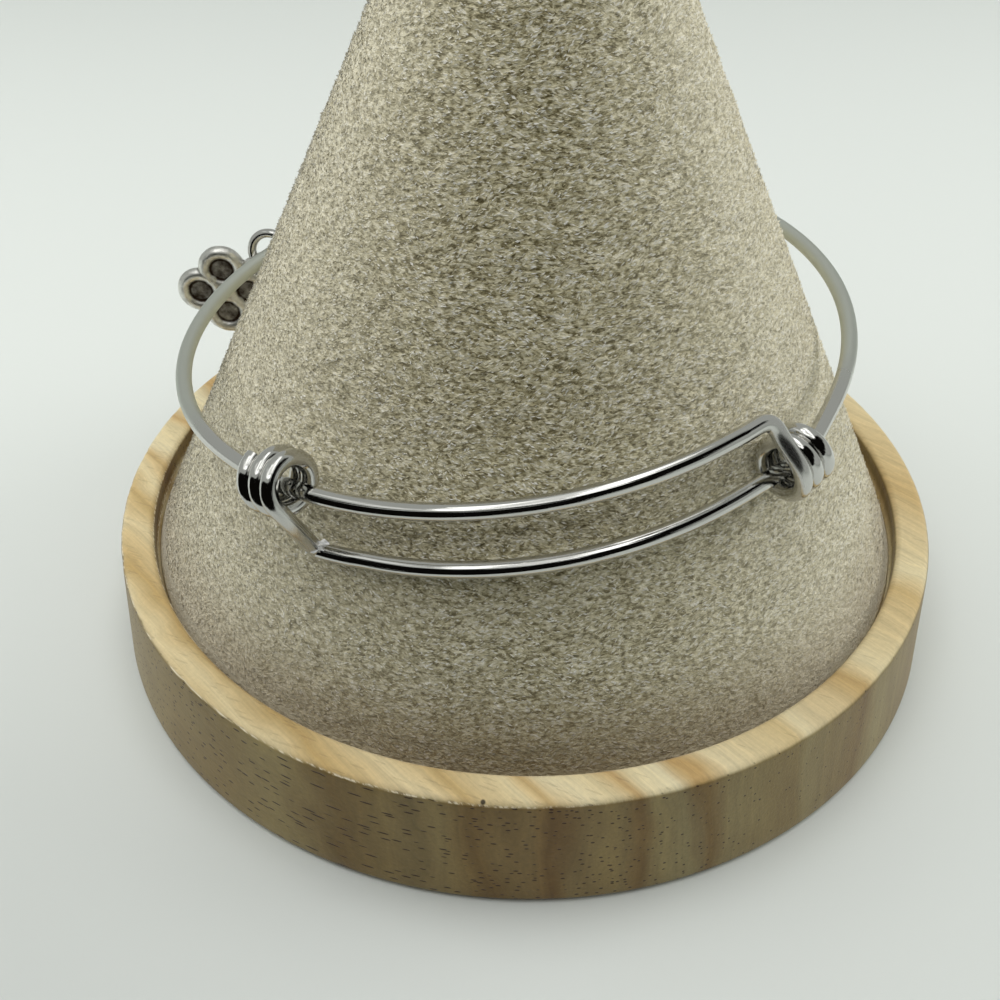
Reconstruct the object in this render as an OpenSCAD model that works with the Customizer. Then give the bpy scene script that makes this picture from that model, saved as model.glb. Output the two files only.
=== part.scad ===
// Expandable wire charm bangle on a cone display stand.
// Millimetres, +Z up, origin at the centre of the stand's underside, the viewer on the -Y side.
// One steel wire goes round the cone. Each of its ends is coiled round the other end's strand, so
// the two coils slide and the bangle opens. A cast flower charm hangs on a jump ring at the back.

/* [Wooden base] */
// Radius of the base at its foot
base_foot_r = 43.5; // [41:0.1:48]
// Radius of the base at its rim
base_rim_r = 42.5; // [40:0.1:46]
// Height of the base
base_h = 12.4; // [9:0.1:18]
// Width of the rim round the recess
rim_w = 3.4; // [2.5:0.1:5]
// Depth of the recess that the cone stands in
recess_depth = 2.9; // [2:0.1:5]
// Rounding of the turned edges
edge_r = 0.7; // [0.3:0.1:1.2]

/* [Fabric cone] */
// Width of the open groove between the cone and the rim
groove_w = 1.5; // [1:0.1:2]
// Half angle of the cone in degrees
cone_half_angle = 25.6; // [22:0.1:28]
// Radius of the rounded tip
tip_r = 6; // [3:0.5:10]

/* [Bangle] */
// Diameter of the steel wire
wire_d = 1.5; // [1.2:0.05:1.7]
// Radius of the bangle, to the middle of its wire
ring_r = 31.9; // [31.5:0.1:34]
// Height of the bangle's centre above the table
ring_z = 32.25; // [31:0.05:33]
// Tilt of the bangle, its right side up
ring_tilt = 8.3; // [6:0.1:10]
// Tilt of the bangle, its back up
ring_pitch = 0.6; // [0:0.1:2]
// Distance between the two front strands, middle to middle
strand_gap = 6.2; // [5.5:0.1:6.5]
// Radius of the two coils, to the middle of the wire
coil_r = 2.3; // [2.2:0.05:2.4]
// Distance from one turn of a coil to the next
coil_pitch = 1.58; // [1.58:0.01:1.7]

/* [Jump ring] */
// Angle round the bangle where the jump ring hangs, 0 at the front
hang_angle = -125; // [-140:1:-115]
// Radius of the jump ring, to the middle of its wire
link_r = 2.2; // [2.1:0.1:2.4]
// Diameter of the jump ring's wire
link_d = 1; // [0.8:0.05:1.1]

/* [Charm] */
// Radius of one petal
petal_r = 2.7; // [2.4:0.1:3]
// Distance from the middle of the flower to the middle of a petal
petal_reach = 2.7; // [2.4:0.1:3]
// Thickness of the rounded rim of a petal
petal_rim_d = 1.5; // [1.2:0.1:1.8]
// Thickness of the sunk floor inside a rim
petal_floor_t = 0.7; // [0.5:0.1:1]
// Radius of the round boss in the middle
boss_r = 1.1; // [0.8:0.1:1.4]
// Radius of the hanging eye, to the middle of its wire
eye_r = 1.1; // [1:0.05:1.2]
// Thickness of the hanging eye
eye_d = 0.8; // [0.6:0.05:0.8]

/* [Hidden] */

fit_gap = 0.1;          // clearance between pieces that rest on each other
ring_x = -1.45;         // the bangle hangs a little to the left of the cone's axis
ring_y = 0.27;
wire_sides = 12;
coil_steps = 16;        // stations in one turn of a coil
strand_step = 4;        // degrees of the bangle between two stations of a strand
ease_from = 48;         // the strands lie level in front, and from here run together to the back
lead_angle = 6;         // from a bend to the first two stations of its strand
strand_start = 9;

recess_z = base_h - recess_depth;
cone_r_at_rim = base_rim_r - rim_w - groove_w;
cone_slope = tan(cone_half_angle);
apex_z = base_h + cone_r_at_rim / cone_slope;
cone_foot_z = recess_z + fit_gap;

// The two knots differ a little, as hand-turned ones do. A row describes one of them as if it were
// the left one: its coil on the upper strand, and its leg going down to the lower strand.
COIL_AT = 0;        // angle of the coil's middle round the bangle
COIL_OUT = 1;       // how far the coil stands out from the strand's circle
COIL_UP = 2;        // how far it is above the strand
COIL_YAW = 3;       // its axis turned outwards
COIL_DIP = 4;       // its axis turned downwards
COIL_TURNS = 5;
COIL_LAST = 6;      // where round the coil its last turn ends, from the top outwards
BEND_AT = 7;        // angle of the bend between leg and strand
BEND_OUT = 8;
BEND_UP = 9;
BEND_SIZE = 10;     // length of leg and of strand that the bend takes up
LEG_EASE = 11;      // share of the leg that still follows the coil
PASS_OUT = 12;      // how far the strand moves out where it goes through the other coil
PASS_UP = 13;
left_knot = [-35.6, 0.15, 0.45, 6, -8, 2.28, 110, -32.2, 0.3, -0.1, 1, 0.4, 0.45, -0.25];
right_knot = [-45.4, 0.55, -0.45, 0, 0, 2.35, 90, -41.5, 0, 0.3, 1.6, 0.4, 0, 0];
pass_angle = 48;
pass_width = 7;

// The jump ring is pulled sideways by the charm, which leans out from the cone.
link_lean = [-0.88, 0.12, -0.46];
eye_angle = 45;         // the eye sits in the notch between the upper and the right petal
eye_reach = 5.4;        // from the flower's middle to the eye's
stem_d = 1.2;           // the short neck that joins eye and flower
petals = 4;

function unit(v) = v / norm(v);
function arc(x, y, r, from, to, steps) =
    [for (i = [0 : steps]) let (a = from + (to - from) * i / steps) [x + r * cos(a), y + r * sin(a)]];

// Points of the bangle's wire before it is tilted.
function on_ring(angle, out, up) =
    [(ring_r + out) * sin(angle), -(ring_r + out) * cos(angle), up];
function strand_up(angle) =
    angle < ease_from ? -strand_gap / 2 : -strand_gap / 2 * (180 - angle) / (180 - ease_from);
function cubic(a, b, c, d, v) =
    pow(1 - v, 3) * a + 3 * v * pow(1 - v, 2) * b + 3 * v * v * (1 - v) * c + pow(v, 3) * d;
function quadratic(a, b, c, v) = pow(1 - v, 2) * a + 2 * v * (1 - v) * b + v * v * c;

function coil_points(k) =
    let (
        angle = k[COIL_AT],
        middle = on_ring(angle, k[COIL_OUT], strand_gap / 2 + k[COIL_UP]),
        along = [cos(angle), sin(angle), 0],
        outward = [sin(angle), -cos(angle), 0],
        up = [0, 0, 1],
        along_yawed = along * cos(k[COIL_YAW]) + outward * sin(k[COIL_YAW]),
        side = outward * cos(k[COIL_YAW]) - along * sin(k[COIL_YAW]),
        axis = along_yawed * cos(k[COIL_DIP]) - up * sin(k[COIL_DIP]),
        top = up * cos(k[COIL_DIP]) + along_yawed * sin(k[COIL_DIP]),
        steps = ceil(coil_steps * k[COIL_TURNS])
    )
    [for (i = [0 : steps])
        let (turned = k[COIL_TURNS] * (i / steps - 1), round = k[COIL_LAST] + 360 * turned)
        middle + axis * coil_pitch * (turned + k[COIL_TURNS] / 2)
            + coil_r * (side * sin(round) + top * cos(round))];

// From the coil's end down the leg, round the bend and into the lower strand.
function leg_points(k, coil) =
    let (
        start = coil[len(coil) - 1],
        leaving = unit(start - coil[len(coil) - 2]),
        corner = on_ring(k[BEND_AT], k[BEND_OUT], k[BEND_UP] - strand_gap / 2),
        next = on_ring(k[BEND_AT] + lead_angle, 0.3 * k[BEND_OUT], 0.3 * k[BEND_UP] - strand_gap / 2),
        down = unit(corner - start),
        bend_start = corner - down * k[BEND_SIZE],
        bend_end = corner + unit(next - corner) * k[BEND_SIZE],
        reach = norm(bend_start - start)
    )
    concat(
        [for (v = [0.12 : 0.15 : 0.88])
            cubic(start, start + leaving * reach * k[LEG_EASE], bend_start - down * reach * 0.35,
                bend_start, v)],
        [for (v = [0 : 1 / 6 : 1.01]) quadratic(bend_start, corner, bend_end, v)],
        [next]
    );

function strand_points(k) =
    let (first = k[BEND_AT] + strand_start, steps = round((180 - first) / strand_step))
    [for (i = [0 : steps])
        let (angle = first + (180 - first) * i / steps, near = exp(-pow((angle - pass_angle) / pass_width, 2)))
        on_ring(angle, k[PASS_OUT] * near, strand_up(angle) + k[PASS_UP] * near)];

function half_wire(k) = let (coil = coil_points(k)) concat(coil, leg_points(k, coil), strand_points(k));

// The right half is the left one turned half a turn about the Y axis.
function turned_over(p) = [-p[0], p[1], -p[2]];
function tilted(p) =
    let (
        y = p[1] * cos(ring_pitch) - p[2] * sin(ring_pitch),
        z = p[1] * sin(ring_pitch) + p[2] * cos(ring_pitch)
    )
    [ring_x + p[0] * cos(ring_tilt) - z * sin(ring_tilt), ring_y + y,
        ring_z + p[0] * sin(ring_tilt) + z * cos(ring_tilt)];

function wire_path() =
    let (left = half_wire(left_knot), right = half_wire(right_knot))
    [for (p = concat(left, [for (i = [len(right) - 2 : -1 : 0]) turned_over(right[i])])) tilted(p)];

function directions(path) =
    let (last = len(path) - 1)
    [for (i = [0 : last]) unit(path[min(i + 1, last)] - path[max(i - 1, 0)])];
function square_to(v, direction) = unit(v - (v * direction) * direction);
// Each station's first radius is the one before it, turned as little as possible.
function radii(dirs) =
    [for (i = 0, r = square_to([0, 0, 1], dirs[0]); i < len(dirs);
        i = i + 1, r = i < len(dirs) ? square_to(r, dirs[i]) : r) r];

// A round bar along the path, closed by a flat cut at each end.
module bar(path, d, sides) {
    dirs = directions(path);
    first = radii(dirs);
    last = len(path) - 1;
    points = [for (i = [0 : last]) let (second = cross(dirs[i], first[i]))
        for (j = [0 : sides - 1])
            path[i] + d / 2 * (first[i] * cos(360 * j / sides) + second * sin(360 * j / sides))];
    skin = [for (i = [0 : last - 1]) for (j = [0 : sides - 1])
        let (a = i * sides + j, b = i * sides + (j + 1) % sides)
        for (face = [[a, a + sides, b], [b, a + sides, b + sides]]) face];
    start_cap = [for (j = [0 : sides - 1]) j];
    end_cap = [for (j = [sides - 1 : -1 : 0]) last * sides + j];
    polyhedron(points = points, faces = concat([start_cap], skin, [end_cap]));
}

// Turns the Z axis into the given direction.
module facing(direction) {
    u = unit(direction);
    rotate([0, acos(u[2]), atan2(u[1], u[0])]) children();
}

module torus(middle_r, d) {
    rotate_extrude($fn = 64)
        translate([middle_r, 0]) circle(d = d, $fn = 24);
}

// Where the jump ring goes round the wire, and the places that follow from it.
hang_point = tilted(on_ring(hang_angle, 0, -strand_up(-hang_angle)));
hang_along = unit(tilted(on_ring(hang_angle + 1, 0, -strand_up(-hang_angle - 1))) - hang_point);
lean = unit(link_lean);
link_axis = square_to(hang_along, lean);
// The ring stands askew on the wire, which fills more of it than a wire straight through would.
squareness = link_axis * hang_along;
link_middle = hang_point + lean * (link_r - (link_d / 2 + wire_d / 2 + fit_gap) / squareness);
eye_middle = link_middle + lean * link_r;
eye_axis = cross(link_axis, lean);
charm_middle = eye_middle - eye_reach * [cos(eye_angle), 0, sin(eye_angle)];

module wooden_base() {
    foot = arc(base_foot_r - edge_r, edge_r, edge_r, -90, 0, 6);
    rim = arc(base_rim_r - edge_r, base_h - edge_r, edge_r, 0, 90, 6);
    lip = arc(base_rim_r - rim_w + edge_r, base_h - edge_r, edge_r, 90, 180, 6);
    color("burlywood")
        rotate_extrude($fn = 128)
            polygon(concat([[0, 0]], foot, rim, lip, [[base_rim_r - rim_w, recess_z], [0, recess_z]]));
}

module fabric_cone() {
    tip_z = apex_z - tip_r / sin(cone_half_angle);
    foot_r = (apex_z - cone_foot_z) * cone_slope;
    color([0.72, 0.67, 0.56])
        rotate_extrude($fn = 128)
            polygon(concat([[0, cone_foot_z], [foot_r, cone_foot_z]],
                [for (p = arc(0, tip_z, tip_r, cone_half_angle, 90, 10)) [max(p[0], 0), p[1]]]));
}

module bangle_wire() {
    color("silver") bar(wire_path(), wire_d, wire_sides);
}

module jump_ring() {
    color("lightgray")
        translate(link_middle) facing(link_axis) torus(link_r, link_d);
}

module petal() {
    torus(petal_r - petal_rim_d / 2, petal_rim_d);
    cylinder(h = petal_floor_t, r = petal_r - petal_rim_d / 2, center = true, $fn = 64);
}

module charm() {
    color("darkgray") {
        translate(charm_middle) rotate([90, 0, 0]) {
            for (i = [0 : petals - 1])
                rotate([0, 0, 360 * i / petals]) translate([petal_reach, 0, 0]) petal();
            sphere(r = boss_r, $fn = 48);
            rotate([0, 0, eye_angle]) translate([petal_reach, 0, 0]) rotate([0, 90, 0])
                cylinder(h = eye_reach - eye_r - petal_reach, d = stem_d, $fn = 32);
        }
        translate(eye_middle) facing(eye_axis) torus(eye_r, eye_d);
    }
}

wooden_base();
fabric_cone();
bangle_wire();
jump_ring();
charm();
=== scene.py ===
import bpy, bmesh, math
import numpy as np
from mathutils import Matrix, Vector, noise


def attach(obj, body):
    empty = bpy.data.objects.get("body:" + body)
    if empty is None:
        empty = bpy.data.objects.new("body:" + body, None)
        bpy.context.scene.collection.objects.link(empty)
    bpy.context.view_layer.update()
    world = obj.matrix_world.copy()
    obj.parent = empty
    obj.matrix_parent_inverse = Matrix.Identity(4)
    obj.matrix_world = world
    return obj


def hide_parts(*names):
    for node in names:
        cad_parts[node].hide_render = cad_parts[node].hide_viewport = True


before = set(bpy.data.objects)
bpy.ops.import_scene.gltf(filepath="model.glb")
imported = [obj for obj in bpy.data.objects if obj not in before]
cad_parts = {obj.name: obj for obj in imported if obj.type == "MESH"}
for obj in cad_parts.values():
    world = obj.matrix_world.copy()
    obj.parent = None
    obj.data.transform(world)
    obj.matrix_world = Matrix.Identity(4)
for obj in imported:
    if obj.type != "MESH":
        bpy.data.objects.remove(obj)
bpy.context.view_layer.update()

mm = 0.001


# Colours are written as sRGB hex and turned to linear here.
def linear(hexColour):
    parts = [int(hexColour[i : i + 2], 16) / 255 for i in (1, 3, 5)]
    return (*[c / 12.92 if c <= 0.04045 else ((c + 0.055) / 1.055) ** 2.4 for c in parts], 1.0)


# Adds a node with its inputs and settings. A kind is a shader node's unless it says otherwise. An input
# is a number, a colour, another node's socket, or another node, for its first output.
def addNode(tree, kind, inputs=None, stops=(), **settings):
    node = tree.nodes.new(kind if "Node" in kind else "ShaderNode" + kind)
    for name, value in settings.items():
        setattr(node, name, value)
    if stops:  # of a colour ramp
        ramp = node.color_ramp.elements
        while len(ramp) < len(stops):
            ramp.new(1.0)
        for element, (place, colour) in zip(ramp, stops):
            element.position, element.color = place, linear(colour)
    for name, value in (inputs or {}).items():
        if isinstance(value, bpy.types.Node):
            value = value.outputs[0]
        if isinstance(value, bpy.types.NodeSocket):
            tree.links.new(value, node.inputs[name])
        else:
            node.inputs[name].default_value = value
    return node


eased = {"interpolation_type": "SMOOTHSTEP"}  # for a range that begins and ends softly


def newMaterial(name):
    made = bpy.data.materials.new(name)
    made.use_nodes = True
    made.node_tree.nodes.clear()
    return made, made.node_tree


def newObject(name, data):
    made = bpy.data.objects.new(name, data)
    bpy.context.scene.collection.objects.link(made)
    return made


def newPiece(name, points, faces, finish):
    mesh = bpy.data.meshes.new(name)
    mesh.from_pydata([tuple(p) for p in points], [], faces)
    mesh.materials.append(finish)
    mesh.shade_smooth()
    mesh.update()
    return newObject(name, mesh)


# A mesh's points in mm, and its normals there.
def placesAndNormals(mesh):
    places, normals = np.empty(len(mesh.vertices) * 3), np.empty(len(mesh.vertices) * 3)
    mesh.vertices.foreach_get("co", places)
    mesh.vertices.foreach_get("normal", normals)
    return places.reshape(-1, 3) / mm, normals.reshape(-1, 3)


# Every finished piece rides on the one body, and stands for the CAD nodes named here, if any.
def finishPiece(piece, slotName, *nodes):
    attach(piece, "root")
    if nodes:
        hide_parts(*nodes)
    print(f"{piece.name}: {sum(len(p.vertices) - 2 for p in piece.data.polygons)} triangles")


# Camera, floor and light. Places are in metres, from the middle of the base's underside.
view = dict(place=(-0.00257, -0.10248, 0.0947), down=39.74, roll=0.25, lens=43.67)
camera = bpy.data.cameras.new("camera")
camera.lens, camera.sensor_width = view["lens"], 36
camera.clip_start, camera.clip_end = 0.002, 20
cameraObject = newObject("camera", camera)
aim = Matrix.Rotation(math.radians(90 - view["down"]), 4, "X")
aim = aim @ Matrix.Rotation(math.radians(view["roll"]), 4, "Z")
cameraObject.matrix_world = Matrix.Translation(view["place"]) @ aim
bpy.context.scene.camera = cameraObject
bpy.context.scene.view_settings.view_transform = "Standard"

# White card floor: matte, no pattern.
floorFinish, tree = newMaterial("whiteCard")
shader = addNode(tree, "BsdfPrincipled", {"Base Color": linear("#d7dbd7"), "Roughness": 0.7})
addNode(tree, "OutputMaterial", {"Surface": shader})
reach = 3
floor = newPiece("floor", [(-reach, -reach, 0), (reach, -reach, 0), (reach, reach, 0), (-reach, reach, 0)],
                 [(0, 1, 2, 3)], floorFinish)

# Strip lights over the front and left give the wire its streaks of light. Soft boxes over the cone and
# at both sides light the cloth and the rim, and are kept out of reflections. Places and sizes in metres,
# turns in degrees.
strips = [dict(middle=(0.055, -0.07, 0.45), width=0.1, depth=0.46, turn=4, power=0.24),
          dict(middle=(-0.18, -0.17, 0.45), width=0.1, depth=0.34, turn=-24, power=0.18),
          dict(middle=(-0.1, -0.34, 0.45), width=0.3, depth=0.09, turn=-6, power=0.14),
          dict(middle=(-0.37, -0.12, 0.45), width=0.14, depth=0.34, turn=10, power=0.07),
          dict(middle=(-0.05, -0.14, 0.452), width=0.14, depth=0.4, turn=-10, power=0.09)]
softBoxes = [dict(middle=(-0.07, 0.05, 0.32), width=0.3, depth=0.2, power=0.36),
             dict(middle=(-0.33, 0.06, 0.17), width=0.2, depth=0.24, tip=-76, power=0.32),
             dict(middle=(0.33, 0.08, 0.19), width=0.2, depth=0.24, tip=74, power=0.56)]
for i, k in enumerate(strips + softBoxes):
    lamp = bpy.data.lights.new("softLight", "AREA")
    lamp.shape, lamp.size, lamp.size_y, lamp.energy = "RECTANGLE", k["width"], k["depth"], k["power"]
    lampObject = newObject("softLight", lamp)
    lampObject.location = k["middle"]
    lampObject.rotation_euler = (0, math.radians(k.get("tip", 0)), math.radians(k.get("turn", 0)))
    lampObject.visible_glossy = i < len(strips)

# Dark cards in front, as are used for any polished metal. The first curves round the front strands,
# rises to the right and shows in the metal; the second is lower and shades the front of the wood.
# Each edge point is degrees round, distance from the middle, and low and high edge, in mm.
cardSteps = 60
darkCards = [dict(seen="visible_glossy",
                  edge=[(-74, 84, -2, 36), (-66, 80, -2, 50), (-52, 80, -2, 61), (-37, 80, -2, 67),
                        (-22, 86, -2, 75), (-8, 94, -2, 88), (2, 104, -2, 104), (8, 114, 2, 124),
                        (17, 120, 12, 156), (30, 120, 36, 192), (39, 120, 54, 225), (49, 120, 72, 240),
                        (61, 120, 84, 240), (70, 120, 95, 210), (76, 120, 102, 195), (86, 120, 112, 190)]),
             dict(seen="visible_diffuse",
                  edge=[(-74, 100, 16, 30), (-45, 95, 14, 76), (-15, 100, 9, 92), (8, 118, 10, 108),
                        (30, 120, 50, 136), (56, 120, 110, 170), (74, 120, 150, 176)])]
cardFinish, tree = newMaterial("blackCard")
shader = addNode(tree, "Emission", {"Color": linear("#0d0c0a")})
addNode(tree, "OutputMaterial", {"Surface": shader})
for card in darkCards:
    corners, sides = [], []
    around, away, lows, highs = zip(*card["edge"])
    for i, turn in enumerate(np.linspace(around[0], around[-1], cardSteps + 1)):
        a, r = math.radians(turn), np.interp(turn, around, away) * mm
        for edge in (lows, highs):
            corners.append((r * math.sin(a), -r * math.cos(a), np.interp(turn, around, edge) * mm))
        if i:
            sides.append((2 * i - 2, 2 * i, 2 * i + 1, 2 * i - 1))
    cardObject = newPiece("darkCard", corners, sides, cardFinish)
    for ray in ("visible_camera", "visible_shadow", "visible_glossy", "visible_diffuse"):
        setattr(cardObject, ray, ray == card["seen"])

# The room: even grey walls and ceiling.
room = bpy.data.worlds.new("room")
bpy.context.scene.world = room
room.use_nodes = True
room.node_tree.nodes.clear()
background = addNode(room.node_tree, "Background", {"Color": linear("#b2b5b1")})
addNode(room.node_tree, "OutputWorld", {"Surface": background})
print("camera, floor and light set")


# A closed round body from an outline of (radius, height) in mm, its first and last points on the axis.
def turned(name, outline, sides, finish):
    points, faces = [], []
    for r, z in outline[1:-1]:
        for j in range(sides):
            a = 2 * math.pi * j / sides
            points.append((r * mm * math.cos(a), r * mm * math.sin(a), z * mm))
    rows = len(outline) - 2
    for i in range(rows - 1):
        for j in range(sides):
            k = (j + 1) % sides
            faces.append((i * sides + j, i * sides + k, (i + 1) * sides + k, (i + 1) * sides + j))
    for row, (r, z) in ((0, outline[0]), (rows - 1, outline[-1])):
        points.append((0, 0, z * mm))
        for j in range(sides):
            k = (j + 1) % sides
            pair = (row * sides + k, row * sides + j) if row == 0 else (row * sides + j, row * sides + k)
            faces.append((*pair, len(points) - 1))
    return newPiece(name, points, faces, finish)


def arc(x, y, r, start, end, steps):
    angles = [math.radians(start + (end - start) * i / steps) for i in range(steps + 1)]
    return [(x + r * math.cos(a), y + r * math.sin(a)) for a in angles]


# Wooden base, in mm. The rim's outer edge, and all within slack of it, is torn by about "ragged", and
# more left of raggedSide.
base = dict(footRadius=43.5, rimRadius=42.5, height=12.4, rimWidth=3.4, recess=2.9, edge=0.7, sides=512,
            edgeSteps=6, wallRows=9, ragged=0.09, raggedSide=-8, raggedMore=1.4, raggedLess=0.6,
            slack=0.05)

# Pale turned hardwood with its grain level: long grain on the left front, where pores are short dark
# dashes, and end grain on the right front, where they are dots and the growth layers stand upright.
# Sanded and bare, so it is matt and pale; its upright side is darker and browner, partly its own colour
# and partly painted shade. Sizes in mm, turns in degrees. Layers, cracks and torn edge begin and end at
# places across the grain.
wood = dict(grainTurn=42.2, layersFrom=-41, layersTo=46, wander=5, fibre=0.22, fibreLength=7, poreTurn=66,
            pores=dict(spacing=0.4, run=3.4, size=0.2, soft=0.06),
            cracks=dict(spacing=1.1, run=140, size=0.045, soft=0.03, share=0.3), cracksFrom=-40.2,
            cracksTo=-41.6, tornFrom=-20, tornTo=-34, speckAt=(-3.85, -41.95, 12.2), speckSize=0.16,
            speckFade=0.14)
woodFinish, tree = newMaterial("bareTurnedRubberwood")
place = addNode(tree, "TexCoord")
# across, along (negative towards the front right) and up, in mm; the pores have a turn of their own
grain, poreGrain = [addNode(tree, "Mapping",
                            {"Vector": place.outputs["Object"], "Rotation": (0, 0, -math.radians(turn)),
                             "Scale": [1 / mm] * 3}) for turn in (wood["grainTurn"], wood["poreTurn"])]
# noise drawn out along the grain: the wandering of the layers, the fibres, and streaks on the side.
# Fibres are drawn coarser than real ones, so that they show.
fibreScale = (1 / wood["fibre"], 1 / wood["fibreLength"], 0.6 / wood["fibre"])
drawnOut = ((0.2, 0.1, 0.07), 2.0, 0.5), (fibreScale, 3.0, 0.6), ((0.42, 0.05, 0.1), 3.0, 0.6)
wander, fibres, smoke = [
    addNode(tree, "TexNoise",
            {"Vector": addNode(tree, "VectorMath", {0: grain, 1: scale}, operation="MULTIPLY"),
             "Scale": 1.0, "Detail": detail, "Roughness": rough}) for scale, detail, rough in drawnOut]
across = addNode(tree, "SeparateXYZ", {0: grain})
shifted = addNode(tree, "Math", {0: wander.outputs["Fac"], 1: wood["wander"], 2: across.outputs["X"]},
                  operation="MULTIPLY_ADD")
# growth layers: the ramp runs across the grain from the left front to the right back
layer = addNode(tree, "MapRange",
                {"Value": shifted, "From Min": wood["layersFrom"], "From Max": wood["layersTo"]})
layers = addNode(tree, "ValToRGB", {"Fac": layer},
                 stops=[(0.0, "#dcbd85"), (0.03, "#edd4a2"), (0.055, "#cda96c"), (0.1, "#ead1a0"),
                        (0.135, "#cfac70"), (0.165, "#ebd4a4"), (0.185, "#d0ac72"), (0.205, "#edd8ab"),
                        (0.235, "#e7cf9e"), (0.252, "#c8a168"), (0.268, "#ead4a5"), (0.3, "#eedbb0"),
                        (0.322, "#c49b5e"), (0.345, "#edd7a9"), (0.42, "#ddc08a"), (0.44, "#edd8ab"),
                        (0.53, "#caa56a"), (0.56, "#ecd6a7"), (0.68, "#d4b37a"), (0.71, "#ecd7a9"),
                        (0.84, "#d0ae75"), (1.0, "#ecd6a7")])
bands = addNode(tree, "TexNoise", {"W": shifted, "Scale": 1.1, "Detail": 3.0, "Roughness": 0.65},
                noise_dimensions="1D")
grit = addNode(tree, "TexNoise", {"Vector": grain, "Scale": 2.6, "Detail": 3.0, "Roughness": 0.7})
tone = 0.625  # where no streak makes it paler
for streak, share in ((bands, 0.29), (fibres, 0.26), (grit, 0.16)):
    tone = addNode(tree, "Math", {0: streak.outputs["Fac"], 1: share, 2: tone}, operation="MULTIPLY_ADD")
# darker streaks are a little greyer, and a few years in the light have greyed it all
greyer = [addNode(tree, "Math", {0: tone, 1: v}, operation="POWER") for v in (1.5, 1.45, 1.35)]
layered = layers
for tint in (addNode(tree, "CombineXYZ", dict(zip("XYZ", greyer))), linear("#edf4fb")):
    layered = addNode(tree, "MixRGB", {"Fac": 1.0, "Color1": layered, "Color2": tint},
                      blend_type="MULTIPLY")
# the upright side: darker and browner, partly the wood's own colour and partly painted shade
facing = addNode(tree, "SeparateXYZ", {0: place.outputs["Normal"]})
upright = addNode(tree, "MapRange", {"Value": facing.outputs["Z"], "From Min": 0.75, "From Max": 0.3},
                  **eased)
sideColourAndShade = addNode(tree, "ValToRGB", {"Fac": smoke.outputs["Fac"]},
                     stops=[(0.3, "#9d9479"), (0.45, "#a69e83"), (0.56, "#aba489"), (0.7, "#b3ad91")])
# a red-brown layer comes out on the front of the side
redLayer = addNode(tree, "ValToRGB", {"Fac": layer},
                   stops=[(0.08, "#ffffff"), (0.13, "#f7ede1"), (0.18, "#f0e0d0"), (0.23, "#faf2e9"),
                          (0.3, "#ffffff")])
sideTintedAndShaded = layered
for tint in (sideColourAndShade, redLayer):
    sideTintedAndShaded = addNode(tree, "MixRGB", {"Fac": 1.0, "Color1": sideTintedAndShaded, "Color2": tint},
                         blend_type="MULTIPLY")
sidedAndShaded = addNode(tree, "MixRGB", {"Fac": upright, "Color1": layered, "Color2": sideTintedAndShaded})


# Dark flecks long in the grain: one in each cell, kept where its own random value is above "share".
# Size and soft edge are parts of the spacing.
def flecks(tree, vector, spacing, run, size, soft, share):
    stretched = addNode(tree, "VectorMath", {0: vector, 1: (1 / spacing, 1 / run, 1 / spacing)},
                        operation="MULTIPLY")
    cells = addNode(tree, "TexVoronoi", {"Vector": stretched, "Scale": 1.0})
    spot = addNode(tree, "MapRange",
                   {"Value": cells.outputs["Distance"], "From Min": size + soft, "From Max": size},
                   **eased)
    drawn = addNode(tree, "SeparateXYZ", {0: cells.outputs["Color"]})
    kept = addNode(tree, "Math", {0: drawn.outputs["X"], 1: share}, operation="GREATER_THAN")
    return addNode(tree, "Math", {0: spot, 1: kept}, operation="MULTIPLY")


# pores are thick in the layers that face the front, and thin out to both sides
poreShare = addNode(tree, "ValToRGB", {"Fac": layer},
                    stops=[(0.0, "#b0b0b0"), (0.025, "#505050"), (0.05, "#101010"), (0.13, "#202020"),
                           (0.18, "#505050"), (0.26, "#b0b0b0"), (0.4, "#f0f0f0"), (1.0, "#f0f0f0")])
pores = flecks(tree, poreGrain, share=poreShare, **wood["pores"])
cracks = flecks(tree, grain, **wood["cracks"])
leftOnly = addNode(tree, "MapRange",
                   {"Value": across.outputs["X"], "From Min": wood["cracksFrom"],
                    "From Max": wood["cracksTo"]}, **eased)
cracksLeft = addNode(tree, "Math", {0: cracks, 1: leftOnly}, operation="MULTIPLY")
dark = addNode(tree, "Math", {0: pores, 1: cracksLeft}, operation="MAXIMUM")
poreDepth = addNode(tree, "MapRange", {"Value": upright, "To Min": 0.12, "To Max": 0.88})
darkened = addNode(tree, "Math", {0: dark, 1: poreDepth}, operation="MULTIPLY")
pored = addNode(tree, "MixRGB", {"Fac": darkened, "Color1": sidedAndShaded, "Color2": linear("#301405")})
# pale along the rim's outer edge on the long-grain side: partly splinters where the cutter tore it, partly
# a painted highlight on the rounded edge
edgeBand = addNode(tree, "Math", {0: upright, 1: 0.5}, operation="PINGPONG")
tornHere = addNode(tree, "MapRange",
                   {"Value": fibres.outputs["Fac"], "From Min": 0.46, "From Max": 0.6, "To Max": 2.0},
                   **eased)
tornSide = addNode(tree, "MapRange",
                   {"Value": across.outputs["X"], "From Min": wood["tornFrom"],
                    "From Max": wood["tornTo"]})
splintersAndEdgeHighlight = addNode(tree, "Math", {0: edgeBand, 1: tornHere}, operation="MULTIPLY")
splintersAndEdgeHighlight = addNode(tree, "Math", {0: splintersAndEdgeHighlight, 1: tornSide}, operation="MULTIPLY", use_clamp=True)
splinteredAndHighlit = addNode(tree, "MixRGB", {"Fac": splintersAndEdgeHighlight, "Color1": pored, "Color2": linear("#f6ecd2")})
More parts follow.
